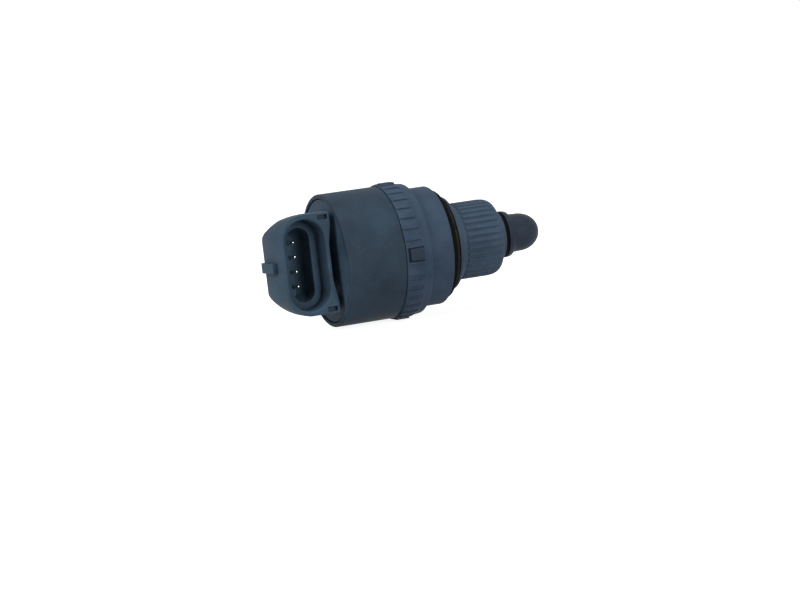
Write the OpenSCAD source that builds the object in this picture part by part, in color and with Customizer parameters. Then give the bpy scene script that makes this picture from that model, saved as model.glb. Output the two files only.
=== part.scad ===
// Idle air control valve: a moulded casing with a side-facing four-pin socket at the rear,
// a two-coil stepper motor inside, and a pintle that slides out of a ribbed neck at the front.
// +X runs along the valve towards the pintle, the socket opens towards -Y, +Z is up.
// The origin is on the valve's axis, in the plane of the seat face behind the shoulder.

/* [View] */
// Sub-part to draw, or all of them together

/* [Casing] */
// Outer radius of the casing barrel
casing_r = 18.3; // [18:0.1:19.5]
// Wall of the casing around the rear cover
rim_wall = 1.15; // [0.9:0.05:1.4]
// Wall of the casing around the motor
casing_wall = 2.1; // [1.9:0.1:2.4]
// Length of the barrel from its rear rim to the slotted band
barrel_len = 16.9; // [16:0.1:19]
// Step down in radius where the casing enters the band
lap_step = 0.3; // [0.2:0.05:0.4]
// Bevel on the outer edge of the rear rim
rim_bevel = 0.3; // [0.1:0.1:0.6]

/* [Rear cover] */
// Radial gap between the rear cover and the casing's rim
cover_gap = 0.25; // [0.15:0.05:0.4]
// Thickness of the rear cover
cover_t = 2.2; // [1.8:0.1:2.6]
// Depth of the cover's outer face below the rim
cover_inset = 0.3; // [0.1:0.1:0.8]
// Width of the ledge that the cover rests on
ledge_w = 0.7; // [0.5:0.1:0.9]
// Height of the pads that hold the motor off the cover
pad_h = 1; // [0.8:0.1:1.3]

/* [Slotted band] */
// Length of the band along the valve
band_len = 7.7; // [7.4:0.1:9]
// Height of the band's crown over the casing
band_rise = 0.5; // [0.4:0.05:0.8]
// Drop of the band's front edge below the casing
band_drop = 0.35; // [0.2:0.05:0.5]
// Radial play between the casing's lap and the band
lap_play = 0.05; // [0.02:0.01:0.08]
// Number of slot places around the band
slot_count = 36; // [24:12:48]
// Width of one slot
slot_w = 1.5; // [1:0.1:1.6]
// Length of one slot from the band's rear edge
slot_len = 4.7; // [3.5:0.1:5.2]
// Depth of one slot below the band's crown
slot_depth = 0.45; // [0.3:0.05:0.6]
// Number of snap tabs around the band
tab_count = 4; // [2:1:4]
// Width of a snap tab
tab_w = 3.3; // [2.6:0.1:3.6]
// Length of a snap tab
tab_len = 3.9; // [3:0.1:4.2]
// Gap around a snap tab in its window
tab_gap = 0.35; // [0.2:0.05:0.5]
// Gap behind a snap tab
tab_rear_gap = 0.8; // [0.5:0.1:1]
// Angle from the socket side up to the first slot
slot_turn = -1; // [-5:1:5]

/* [Shoulder] */
// Thickness of the wall behind the seat face
seat_t = 3; // [2.8:0.1:3.2]
// Radius of the shoulder that enters the air passage
shoulder_r = 16.4; // [15.8:0.1:16.8]
// Length of the shoulder from the seat face
shoulder_len = 7; // [6:0.1:9]
// Bevel on the shoulder's front edge
shoulder_bevel = 0.4; // [0.2:0.1:0.8]
// Outer radius of the rubber gasket in front of the shoulder
gasket_r = 15.1; // [14.6:0.1:15.3]
// Radial width of the gasket
gasket_w = 1.3; // [1:0.1:1.6]
// Length of the gasket
gasket_len = 1.7; // [1.4:0.1:2.5]
// Outer radius of the brass washer
washer_r = 12.9; // [12.2:0.1:13.2]
// Thickness of the brass washer
washer_t = 1.6; // [1.2:0.1:2]
// Radial width of the brass washer
washer_w = 4.3; // [4:0.1:4.6]

/* [Ribbed neck] */
// Radius over the neck's ribs
neck_r = 10.65; // [10.3:0.05:11.2]
// Length of the neck in front of the washer
neck_len = 14.4; // [13:0.1:17]
// Length of the flange at the neck's root
flange_len = 0.7; // [0.5:0.1:1]
// Length of the flare between flange and neck
flare_len = 2.2; // [1.8:0.1:3]
// Length of the rounding at the neck's front
neck_round = 1.6; // [1:0.1:2.2]
// Number of grooves around the neck
groove_count = 36; // [24:1:36]
// Radius of one groove
groove_r = 0.55; // [0.4:0.05:0.6]
// Depth of one groove
groove_depth = 0.5; // [0.3:0.05:0.55]
// Radius of the boss at the neck's front
boss_r = 6.9; // [6.7:0.1:7.4]
// Length of that boss
boss_len = 2; // [1.5:0.1:3]
// Radius of the stem seal
seal_r = 6.3; // [6:0.1:6.5]
// Thickness of the stem seal
seal_t = 1; // [0.8:0.1:1.4]
// Radial play of the stem seal around the stem
seal_play = 0.2; // [0.15:0.05:0.3]

/* [Pintle] */
// Radius of the sliding stem
stem_r = 4.95; // [4.8:0.05:5.1]
// Radial play of the stem in the neck
stem_play = 0.05; // [0.03:0.01:0.1]
// Width of the keys that stop the stem turning
key_w = 1.6; // [1.2:0.1:2]
// Height of the keys over the stem
key_h = 0.9; // [0.7:0.1:1.1]
// Length of the keys
key_len = 6; // [4:0.5:8]
// Play of the keys in their grooves
key_play = 0.1; // [0.05:0.05:0.2]
// Travel of the pintle out of the neck
travel = 8; // [6:0.5:9]
// Radius of the pintle's collar
collar_r = 6.5; // [6.4:0.1:7]
// Length of the collar
collar_len = 1.6; // [1.2:0.1:2.4]
// Radius of the pintle's nose at its root
nose_r = 5.3; // [5.1:0.1:5.8]
// Length of the nose in front of the collar
nose_len = 9.2; // [8:0.1:11]
// Radius of the blunt tip's flat
tip_r = 1.4; // [0.8:0.1:2]
// Radius of the lead screw
screw_r = 2.5; // [2.2:0.1:2.8]
// Length of the lead screw held in the pintle
screw_grip = 10; // [7:0.5:12]
// Radial play of the screw in the nut
nut_play = 0.06; // [0.04:0.01:0.1]

/* [Rotor] */
// Share of the magnet's radius that its hub fills
hub_share = 0.587; // [0.57:0.005:0.62]
// Air gap between the magnet and the poles
air_gap = 0.4; // [0.35:0.05:0.6]
// Radius of the hub's front journal
journal_r = 4; // [3.7:0.1:4.1]
// Radius of the rear pin
rear_pin_r = 1.5; // [1.2:0.1:1.6]
// Radial play of the rear pin in its bush
bush_play = 0.05; // [0.03:0.01:0.08]
// Wall of the rear bush
bush_wall = 1.15; // [0.9:0.05:1.2]
// Length of the rear bush
bush_len = 3; // [2.4:0.1:3.2]
// Length of the hub's rear end that holds the pin
pin_hold = 6; // [5:0.1:6.5]

/* [Bearing] */
// Outer radius of the ball bearing
bearing_r = 8; // [7.8:0.1:8.2]
// Width of the ball bearing
bearing_w = 4; // [3.5:0.1:4.5]
// Thickness of the inner and outer rings
race_t = 1.15; // [1:0.05:1.2]
// Number of balls
ball_count = 9; // [7:1:9]
// Radial gap between a ball and a ring
ball_gap = 0.12; // [0.1:0.02:0.2]

/* [Stator] */
// Thickness of the pole plates and cups
plate_t = 0.9; // [0.8:0.05:1.1]
// Number of claws on one pole plate
claw_count = 12; // [8:2:12]
// Angle that one claw spans
claw_angle = 10; // [8:1:11]
// Radial play between the stator cups and the casing
can_play = 0.1; // [0.05:0.05:0.15]
// Share of the casing's bore radius that the winding takes
coil_share = 0.195; // [0.17:0.005:0.2]
// Length of a lead inside its winding
lead_reach = 3; // [2:0.5:4]
// Wall of the coil bobbins
bobbin_t = 0.8; // [0.6:0.1:1]
// Radius of the coil lead wires
lead_r = 0.2; // [0.15:0.05:0.25]

/* [Socket] */
// Width of the socket body along the valve
socket_w = 14.4; // [14:0.1:16]
// Height of the socket body
socket_h = 27.6; // [27.4:0.1:29]
// Rise of the socket's centre over the valve's axis
socket_rise = 0.4; // [0:0.1:0.6]
// Wall of the socket at its mouth
socket_wall = 1.3; // [1.1:0.1:1.5]
// Depth of the socket body from its mouth
socket_depth = 14.6; // [14:0.1:16]
// Distance of the mouth from the valve's axis
mouth_y = 11; // [10:0.1:13]
// Distance of the socket's centre behind the rim
socket_back = 9.1; // [9:0.1:10]
// Depth from the mouth to the inner ledge
ledge_depth = 6.5; // [6:0.1:7]
// Width of the inner ledge
inner_ledge = 2.7; // [2.5:0.1:2.8]
// Width of that ledge at the socket's rounded ends
end_ledge = 2.3; // [2.2:0.1:2.5]
// Thickness of the socket's floor
floor_t = 1.2; // [1:0.1:1.5]
// Pitch of the four terminals
pin_pitch = 4.04; // [3.8:0.02:4.1]
// Side of a square terminal
pin_w = 0.8; // [0.6:0.05:0.9]
// Depth of the terminals' tips below the mouth
pin_depth = 9.6; // [8.5:0.1:10.5]
// Width of the teeth between the terminals
tooth_w = 2; // [1.6:0.1:2.2]
// Height of those teeth
tooth_h = 1.2; // [0.8:0.1:1.4]
// Rise of the teeth over the middle between two terminals
tooth_rise = 0.8; // [0.4:0.1:1]
// Distance from the lowest tooth down to the small one at the comb's end
end_tooth_drop = 1.9; // [1.8:0.1:2.2]
// Width of that small tooth
end_tooth_w = 1; // [0.8:0.1:1.2]
// Height of the latch on the socket's rear wall
latch_h = 1.2; // [0.8:0.1:1.6]
// Width of the latch
latch_w = 2.8; // [2:0.1:4]
// Length of the latch
latch_len = 9; // [6:0.5:9.5]
// Depth of the latch's near end below the mouth
latch_depth = 4.9; // [4:0.1:5.2]
// Solid margin beyond the outer terminals in the bridge
bridge_margin = 1.1; // [0.8:0.1:1.4]
// Height of the webs between the socket and the cover
web_h = 2.8; // [2.2:0.1:3.2]
// Width of the webs across the valve
web_w = 6; // [4.5:0.1:6.5]
// Reach of the squared corners past the socket's wall, towards the cover
corner_reach = 0.6; // [0.2:0.1:0.8]
// Depth of the squared corners behind the mouth
corner_depth = 5.5; // [5.4:0.1:6.5]
// Length of the key pocket in each squared corner
pocket_len = 2.9; // [2:0.1:3]
// Height of the key pocket
pocket_h = 1.3; // [1:0.1:1.4]
// Depth of the key pocket
pocket_depth = 1.5; // [1:0.5:4]
// Wall around the key pocket
pocket_wall = 0.6; // [0.5:0.1:0.8]

/* [Hidden] */
$fn = 96;
eps = 0.01;

// stations along the valve, measured from the seat face
rim_x = -(barrel_len + band_len);
band_x = -band_len;
cover_x = rim_x + cover_inset;
cover_in_x = cover_x + cover_t;
motor_x0 = cover_in_x + pad_h;
motor_x1 = -seat_t;
motor_mid = (motor_x0 + motor_x1) / 2;
skirt_in_x = -1;
lip_x = -0.6;
bearing_x1 = lip_x + bearing_w;
nose_x = shoulder_len + gasket_len;
flange_x0 = nose_x + washer_t;
flange_x1 = flange_x0 + flange_len;
ribs_x0 = flange_x1 + flare_len + 0.2;
neck_x1 = flange_x0 + neck_len;
ribs_x1 = neck_x1 - 0.7;
boss_x1 = neck_x1 + boss_len;
seal_x1 = boss_x1 + seal_t;
collar_x0 = seal_x1 + 0.1;
collar_x1 = collar_x0 + collar_len;
tip_x = collar_x1 + nose_len;
stem_x0 = bearing_x1 + 2;
screw_x1 = stem_x0 + screw_grip;
screw_x0 = motor_x0 + pin_hold;
key_x0 = stem_x0 + 0.5;
key_stop_x = key_x0 + key_len + travel + 0.5;

// radii inside the casing
lap_r = casing_r - lap_step;
rim_in_r = casing_r - rim_wall;
cover_r = rim_in_r - cover_gap;
casing_in_r = casing_r - casing_wall;
lip_r = bearing_r - 0.8;
spigot_r = washer_r - washer_w;
can_r = casing_in_r - can_play;
can_in_r = can_r - plate_t;
lead_place_r = can_in_r - lead_r;
flange_r = can_in_r - 2 * lead_r - 0.05;
coil_r = flange_r - 0.2;
coil_in_r = coil_r - casing_in_r * coil_share;
bobbin_in_r = coil_in_r - bobbin_t;
claw_out_r = bobbin_in_r - 0.1;
claw_in_r = claw_out_r - plate_t;
plate_bore_r = claw_in_r + 0.35;
magnet_r = claw_in_r - air_gap;
hub_r = magnet_r * hub_share;
stem_bore_r = stem_r + stem_play;
nut_r = screw_r + nut_play;
bush_r = rear_pin_r + bush_play + bush_wall;
boss_in_r = bush_r + 0.7;
race_in_r = journal_r + race_t;
race_out_r = bearing_r - race_t;
ball_r = (race_out_r - race_in_r) / 2 - ball_gap;
ball_place_r = (race_out_r + race_in_r) / 2;

// rotor stations
bush_x0 = cover_in_x + 1.9 - bush_len;
bush_x1 = bush_x0 + bush_len;
wave_t = 0.3;
hub_x0 = bush_x1 + wave_t + 0.1;
magnet_x0 = motor_x0 + plate_t + 0.8;
magnet_x1 = motor_x1 - 0.7;
pin_end_x = screw_x0 - 0.5;
clip_x0 = bearing_x1 + 0.05;
clip_t = 0.6;
journal_x1 = clip_x0 + clip_t + 0.3;

// socket
socket_x = rim_x - socket_back;
body_r = socket_w / 2;
mouth_r = body_r - socket_wall;
mouth_h = socket_h - 2 * socket_wall;
well_r = mouth_r - inner_ledge;
well_h = mouth_h - 2 * end_ledge;
back_y = socket_depth - mouth_y;
floor_y = back_y - floor_t;
ledge_y = ledge_depth - mouth_y;
tip_y = pin_depth - mouth_y;
pin_row_y = back_y + 0.6;
bridge_y1 = pin_row_y + pin_w / 2 + 0.8;
bridge_h = 3 * pin_pitch + pin_w + 2 * bridge_margin;
web_top = mouth_h / 2 + 0.6;
web_x0 = socket_x + body_r - 2;
web_y0 = -web_w + 0.3;
pin_inner_x = cover_in_x + 0.75;
lead_x = cover_in_x + 0.45;
pin_rows = [for (i = [0:3]) (i - 1.5) * pin_pitch + socket_rise];
tooth_rows = [for (i = [-2:1]) i * pin_pitch + tooth_rise + socket_rise];

// Turns an outline of [radius, station] points about the valve's axis.
module turned(points) {
  rotate([0, 90, 0])
    rotate_extrude()
      polygon(points);
}

// Straight tube along the valve between two stations.
module tube(x0, x1, outer, inner) {
  turned([[inner, x0], [outer, x0], [outer, x1], [inner, x1]]);
}

// Solid rod along the valve between two stations.
module rod(x0, x1, r) {
  translate([x0, 0, 0])
    rotate([0, 90, 0])
      cylinder(h = x1 - x0, r = r);
}

// Puts its children, drawn on the socket side, at an angle up and over the valve.
module around(angle) {
  rotate([-angle, 0, 0])
    children();
}

// Block on the socket side that reaches from one radius to another.
module radial_block(x0, x1, r0, r1, w) {
  translate([x0, -r1, -w / 2])
    cube([x1 - x0, r1 - r0, w]);
}

// Stadium outline, as wide as given and rounded at both ends.
module stadium(r, h) {
  square([2 * r, h - 2 * r], center = true);
  for (side = [-1, 1])
    translate([0, side * (h / 2 - r)])
      circle(r = r);
}

// Stadium prism that runs from one depth of the socket to another.
module socket_prism(r, h, y0, y1) {
  translate([socket_x, y1, socket_rise])
    rotate([90, 0, 0])
      linear_extrude(height = y1 - y0)
        stadium(r, h);
}

// Side outline of the socket body, with its far corners cut back, inset by a wall.
module socket_side(inset) {
  top = socket_h / 2 + 1 - inset;
  knee = socket_h / 2 - inset;
  y_knee = -mouth_y * 0.62 - inset * 0.2;
  y_mid = -mouth_y * 0.24 - inset * 0.6;
  y_far = back_y - inset;
  half = [
    [-mouth_y - 1, top], [y_knee, knee], [y_mid, socket_h * 0.44 - inset * 0.8],
    [y_far - 1, socket_h * 0.32 - inset * 0.4], [y_far, socket_h * 0.28 - inset * 0.4]
  ];
  mirrored = [for (i = [len(half) - 1:-1:0]) [half[i][0], -half[i][1]]];
  translate([socket_x - body_r - 1, 0, socket_rise])
    rotate([90, 0, 90])
      linear_extrude(height = 2 * body_r + 2)
        polygon(concat(half, mirrored));
}

// One bent terminal: a square pin along the socket, then a leg into the motor.
module terminal_shape(z) {
  half = pin_w / 2;
  translate([socket_x - half, tip_y, z - half])
    cube([pin_w, pin_row_y + half - tip_y, pin_w]);
  translate([socket_x - half, pin_row_y - half, z - half])
    cube([pin_inner_x - socket_x + half, pin_w, pin_w]);
}

// Distance across the valve to a lead's run along the cans.
function lead_y(z) = sqrt(pow(lead_place_r, 2) - pow(z, 2));

// Clearance holes for the leads between two stations.
module lead_holes(rows, x0, x1) {
  for (z = rows)
    translate([x0, lead_y(z), z])
      rotate([0, 90, 0])
        cylinder(h = x1 - x0, r = lead_r + 0.25);
}

// Rear casing: a barrel with the cover's ledge, a lap for the band and the snap tabs.
module casing() {
  color([0.26, 0.31, 0.34])
    union() {
      turned([
        [rim_in_r, rim_x], [casing_r - rim_bevel, rim_x], [casing_r, rim_x + rim_bevel],
        [casing_r, band_x], [lap_r, band_x], [lap_r, skirt_in_x], [casing_in_r, skirt_in_x],
        [casing_in_r, cover_in_x], [rim_in_r, cover_in_x]
      ]);
      for (i = [0:tab_count - 1])
        around(slot_turn + i * 360 / tab_count)
          snap_tab();
    }
}

// Raised tab on the casing's lap that locks in a window of the band.
module snap_tab() {
  x0 = band_x + 0.3 + tab_rear_gap;
  radial_block(x0, x0 + tab_len, lap_r - 0.5, casing_r + band_rise + 0.1, tab_w);
}

// Front body: the slotted band, the seat face, the shoulder and the bearing's seat.
module front_body() {
  crown = casing_r + band_rise;
  front = casing_r - band_drop;
  rear = casing_r + 0.25;
  color([0.24, 0.29, 0.33])
    difference() {
      turned([
        [lip_r, motor_x1], [casing_in_r - 0.05, motor_x1], [casing_in_r - 0.05, skirt_in_x],
        [lap_r + lap_play, skirt_in_x], [lap_r + lap_play, band_x], [rear, band_x],
        [crown - 0.1, band_x + 0.35], [crown, band_x + 0.9], [crown, band_x + 2.9],
        [crown - 0.12, band_x + 4.2], [crown - 0.35, band_x + 5.2],
        [front + 0.15, -1.7], [front, -0.4], [front - 0.4, 0], [shoulder_r, 0],
        [shoulder_r, shoulder_len - shoulder_bevel],
        [shoulder_r - shoulder_bevel, shoulder_len], [gasket_r - gasket_w, shoulder_len],
        [gasket_r - gasket_w, nose_x], [spigot_r, nose_x], [spigot_r, bearing_x1],
        [bearing_r, bearing_x1], [bearing_r, lip_x], [lip_r, lip_x]
      ]);
      for (i = [0:slot_count - 1])
        around(slot_turn + i * 360 / slot_count)
          band_slot((i * tab_count) % slot_count == 0);
    }
}

// Cutter for one slot of the band, or for the wider window of a snap tab.
module band_slot(window) {
  w = window ? tab_w + 2 * tab_gap : slot_w;
  end = window ? band_x + 0.3 + tab_rear_gap + tab_len + 0.15 : band_x + slot_len;
  start = window ? band_x + 0.3 : band_x - 1;
  floor_r = window ? lap_r - 0.5 : casing_r + band_rise - slot_depth;
  radial_block(start, end, floor_r, casing_r + band_rise + 1, w);
}

// Rear cover, moulded in one with the socket, its webs and its latch.
module socket_cover() {
  color([0.23, 0.28, 0.31])
    difference() {
      union() {
        rod(cover_x, cover_in_x, cover_r);
        rod(cover_in_x - eps, cover_in_x + 1.9, boss_in_r);
        for (angle = [0, 105, -105])
          cover_pad(angle);
        socket_body();
        bridge();
        for (side = [-1, 1])
          web(side);
        latch();
      }
      rod(bush_x0, bush_x1 + 1, bush_r);
      for (z = pin_rows)
        terminal_shape(z);
    }
}

// Raised arc on the cover's inner face that carries the stator.
module cover_pad(angle) {
  around(angle)
    rotate([0, 90, 0])
      rotate_extrude(angle = 30, start = -105)
        polygon([
          [can_r - 1.6, cover_in_x - eps], [can_r - 0.1, cover_in_x - eps],
          [can_r - 0.1, motor_x0], [can_r - 1.6, motor_x0]
        ]);
}

// Hollow socket with an inner ledge, a deeper well and teeth between the terminals.
module socket_body() {
  difference() {
    intersection() {
      union() {
        socket_prism(body_r, socket_h, -mouth_y, back_y);
        for (side = [-1, 1])
          corner_block(side);
      }
      socket_side(0);
    }
    for (side = [-1, 1])
      corner_pocket(side);
    intersection() {
      socket_prism(mouth_r, mouth_h, -mouth_y - 1, ledge_y);
      socket_side(socket_wall - 0.2);
    }
    intersection() {
      difference() {
        socket_prism(well_r, well_h, ledge_y - 1, floor_y);
        for (z = tooth_rows)
          socket_tooth(z, tooth_w);
        socket_tooth(tooth_rows[0] - end_tooth_drop, end_tooth_w);
      }
      socket_side(1.1);
    }
  }
}

// Squared corner of the socket on the side of the cover, above or below.
module corner_block(side) {
  mid = socket_rise + side * (socket_h - body_r) / 2;
  translate([socket_x, -mouth_y, mid - body_r / 2])
    cube([body_r + corner_reach, corner_depth, body_r]);
}

// Cutter for the key pocket in a squared corner.
module corner_pocket(side) {
  mid = socket_rise + side * (socket_h / 2 - pocket_wall - pocket_h / 2);
  x1 = socket_x + body_r + corner_reach - pocket_wall;
  translate([x1 - pocket_len, -mouth_y - 1, mid - pocket_h / 2])
    cube([pocket_len, pocket_depth + 1, pocket_h]);
}

// One tooth of the comb along the well's rear wall.
module socket_tooth(z, w) {
  translate([socket_x - well_r - 1, ledge_y, z - w / 2])
    cube([tooth_h + 1, floor_y - ledge_y + 1, w]);
}

// Solid block behind the socket that carries the terminals into the cover.
module bridge() {
  translate([socket_x - 2.5, floor_y, socket_rise - bridge_h / 2])
    cube([cover_x - socket_x + 2.5 + eps, bridge_y1 - floor_y, bridge_h]);
}

// Short web that ties the socket's shoulder to the cover, above or below.
module web(side) {
  mid = socket_rise + side * (web_top - web_h / 2);
  translate([web_x0, web_y0, mid - web_h / 2])
    cube([cover_x - web_x0 + eps, web_w, web_h]);
}

// Latch block on the socket's rear wall.
module latch() {
  translate([socket_x - body_r - latch_h, latch_depth - mouth_y, socket_rise - latch_w / 2])
    cube([latch_h + 0.4, latch_len, latch_w]);
}

// One terminal of the socket, counted from the bottom.
module terminal(i) {
  color([0.85, 0.84, 0.8])
    terminal_shape(pin_rows[i]);
}

// One coil lead: from a terminal across the cover, along the cans and into its coil.
module lead(i) {
  z = pin_rows[i];
  y0 = pin_row_y + pin_w / 2;
  y1 = lead_y(z);
  rear = i == 0 || i == 3;
  x_end = (rear ? motor_x0 : motor_mid) + lead_reach;
  color([0.62, 0.33, 0.16])
    union() {
      translate([lead_x, y0, z])
        rotate([-90, 0, 0])
          cylinder(h = y1 - y0 + lead_r, r = lead_r);
      translate([lead_x - lead_r, y1, z])
        rotate([0, 90, 0])
          cylinder(h = x_end - lead_x + lead_r, r = lead_r);
    }
}

// Guide sleeve: the spigot in the front body, the flange, the flare and the ribbed neck.
module guide_sleeve() {
  rise = washer_r - neck_r;
  color([0.23, 0.27, 0.3])
    difference() {
      turned([
        [stem_bore_r, bearing_x1], [spigot_r, bearing_x1], [spigot_r, flange_x0],
        [washer_r, flange_x0], [washer_r, flange_x1],
        [neck_r + rise * 0.55, flange_x1 + flare_len * 0.15],
        [neck_r + rise * 0.25, flange_x1 + flare_len * 0.42],
        [neck_r + rise * 0.07, flange_x1 + flare_len * 0.74],
        [neck_r, flange_x1 + flare_len], [neck_r, neck_x1 - neck_round],
        [neck_r - 0.2, neck_x1 - neck_round * 0.5], [neck_r - 0.55, neck_x1 - neck_round * 0.2],
        [neck_r - 1.1, neck_x1], [boss_r, neck_x1], [boss_r, boss_x1 - 0.25],
        [boss_r - 0.25, boss_x1], [stem_bore_r, boss_x1]
      ]);
      for (i = [0:groove_count - 1])
        around(slot_turn + 8 + i * 360 / groove_count)
          neck_groove();
      for (angle = [0, 180])
        around(angle)
          radial_block(bearing_x1 - 1, key_stop_x, stem_r - 1, stem_r + key_h + key_play, key_w + 2 * key_play);
    }
}

// Cutter for one round-bottomed groove between two ribs of the neck.
module neck_groove() {
  translate([ribs_x0, -(neck_r - groove_depth + groove_r), 0])
    rotate([0, 90, 0])
      cylinder(h = ribs_x1 - ribs_x0, r = groove_r, $fn = 24);
}

// Rubber gasket in front of the shoulder.
module gasket() {
  color([0.07, 0.08, 0.09])
    tube(shoulder_len, nose_x, gasket_r, gasket_r - gasket_w);
}

// Brass washer between the front body and the neck's flange.
module washer() {
  color([0.42, 0.4, 0.28])
    turned([
      [spigot_r + 0.05, nose_x], [washer_r, nose_x], [washer_r, flange_x0 - 0.35],
      [washer_r - 0.35, flange_x0], [spigot_r + 0.05, flange_x0]
    ]);
}

// Rubber seal on the front of the boss, around the stem.
module stem_seal() {
  color([0.07, 0.08, 0.09])
    tube(boss_x1, seal_x1, seal_r, stem_r + seal_play);
}

// Ring of claws that all start at one station and end at another.
module claws(x0, x1, turn) {
  for (i = [0:claw_count - 1])
    rotate([turn + i * 360 / claw_count, 0, 0])
      rotate([0, 90, 0])
        rotate_extrude(angle = claw_angle)
          polygon([[claw_in_r, x0], [claw_out_r, x0], [claw_out_r, x1], [claw_in_r, x1]]);
}

// Rear stator cup with its claws and the holes that the leads pass through.
module can_rear() {
  color([0.62, 0.63, 0.62])
    difference() {
      union() {
        turned([
          [plate_bore_r, motor_x0], [can_r, motor_x0], [can_r, motor_mid], [can_in_r, motor_mid],
          [can_in_r, motor_x0 + plate_t], [plate_bore_r, motor_x0 + plate_t]
        ]);
        claws(motor_x0 + plate_t * 0.4, motor_mid - plate_t - 0.6, 0);
      }
      lead_holes(pin_rows, motor_x0 - plate_t, motor_x0 + 1.5 * plate_t);
    }
}

// Front stator cup with its claws.
module can_front() {
  color([0.62, 0.63, 0.62])
    union() {
      turned([
        [plate_bore_r, motor_x1 - plate_t], [can_in_r, motor_x1 - plate_t], [can_in_r, motor_mid],
        [can_r, motor_mid], [can_r, motor_x1], [plate_bore_r, motor_x1]
      ]);
      claws(motor_mid + plate_t + 0.6, motor_x1 - plate_t * 0.4, 90 / claw_count);
    }
}

// Flat pole plate that closes one cup, with claws between those of the cup.
module pole_plate(x0, claw_x0, claw_x1, turn) {
  color([0.6, 0.61, 0.6])
    difference() {
      union() {
        tube(x0, x0 + plate_t, can_in_r, plate_bore_r);
        claws(claw_x0, claw_x1, turn);
      }
      lead_holes([pin_rows[1], pin_rows[2]], x0 - plate_t, x0 + 2 * plate_t);
    }
}

// Coil bobbin between two plates.
module bobbin(x0, x1) {
  color([0.86, 0.84, 0.78])
    turned([
      [bobbin_in_r, x0], [flange_r, x0], [flange_r, x0 + bobbin_t],
      [coil_in_r, x0 + bobbin_t], [coil_in_r, x1 - bobbin_t],
      [flange_r, x1 - bobbin_t], [flange_r, x1], [bobbin_in_r, x1]
    ]);
}

// Copper winding on a bobbin.
module coil(x0, x1) {
  color([0.6, 0.3, 0.14])
    tube(x0 + bobbin_t, x1 - bobbin_t, coil_r, coil_in_r);
}

// Sintered bush in the cover that carries the rotor's rear pin.
module rear_bush() {
  color([0.66, 0.5, 0.28])
    tube(bush_x0, bush_x1, bush_r, rear_pin_r + bush_play);
}

// Spring washer between the bush and the rotor's hub.
module wave_washer() {
  color([0.7, 0.71, 0.72])
    tube(bush_x1, bush_x1 + wave_t, bush_r, rear_pin_r + 0.3);
}

// Outer ring of the ball bearing.
module bearing_outer() {
  color([0.72, 0.73, 0.75])
    tube(lip_x, bearing_x1, bearing_r, race_out_r);
}

// Inner ring of the ball bearing.
module bearing_inner() {
  color([0.72, 0.73, 0.75])
    tube(lip_x, bearing_x1, race_in_r, journal_r);
}

// Balls of the bearing, held in their cage.
module bearing_balls() {
  mid = (lip_x + bearing_x1) / 2;
  cage = ball_r * 0.35;
  color([0.78, 0.79, 0.8])
    union() {
      tube(mid - cage, mid + cage, ball_place_r + cage, ball_place_r - cage);
      for (i = [0:ball_count - 1])
        around(i * 360 / ball_count)
          translate([mid, -ball_place_r, 0])
            sphere(r = ball_r, $fn = 24);
    }
}

// Rotor hub with the nut bore, the front journal and the seat of the rear pin.
module rotor_hub() {
  color([0.8, 0.78, 0.72])
    turned([
      [rear_pin_r, hub_x0], [hub_r, hub_x0], [hub_r, lip_x], [journal_r, lip_x],
      [journal_r, journal_x1], [nut_r, journal_x1], [nut_r, pin_end_x], [rear_pin_r, pin_end_x]
    ]);
}

// Magnet ring around the hub.
module rotor_magnet() {
  color([0.2, 0.2, 0.21])
    tube(magnet_x0, magnet_x1, magnet_r, hub_r);
}

// Steel pin at the rotor's rear end.
module rotor_pin() {
  color([0.75, 0.76, 0.78])
    rod(bush_x0 + 0.3, pin_end_x, rear_pin_r);
}

// Ring that keeps the bearing on the journal.
module bearing_clip() {
  color([0.5, 0.51, 0.53])
    tube(clip_x0, clip_x0 + clip_t, journal_r + 0.65, journal_r);
}

// Lead screw, fixed in the pintle and turned in and out by the rotor's nut.
module lead_screw() {
  color([0.74, 0.75, 0.77])
    rod(screw_x0, screw_x1, screw_r);
}

// Pintle: the keyed stem, the collar and the blunt nose.
module pintle() {
  bend = nose_len * 0.42;
  color([0.2, 0.23, 0.26])
    union() {
      turned([
        [screw_r, stem_x0], [stem_r, stem_x0], [stem_r, collar_x0], [collar_r - 0.1, collar_x0],
        [collar_r, collar_x0 + 0.15], [collar_r - 0.15, collar_x1 - 0.5],
        [collar_r - 0.4, collar_x1 - 0.1], [nose_r + 0.35, collar_x1 + 0.3],
        [nose_r, collar_x1 + 0.9], [nose_r - 0.2, tip_x - bend - 1.2],
        [nose_r * 0.92, tip_x - bend], [nose_r * 0.865, tip_x - bend * 0.78],
        [nose_r * 0.785, tip_x - bend * 0.57], [nose_r * 0.665, tip_x - bend * 0.36],
        [nose_r * 0.5, tip_x - bend * 0.17], [tip_r, tip_x - bend * 0.04], [tip_r * 0.5, tip_x],
        [0, tip_x], [0, screw_x1], [screw_r, screw_x1]
      ]);
      for (angle = [0, 180])
        around(angle)
          radial_block(key_x0, key_x0 + key_len, stem_r - 0.5, stem_r + key_h, key_w);
    }
}

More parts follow.
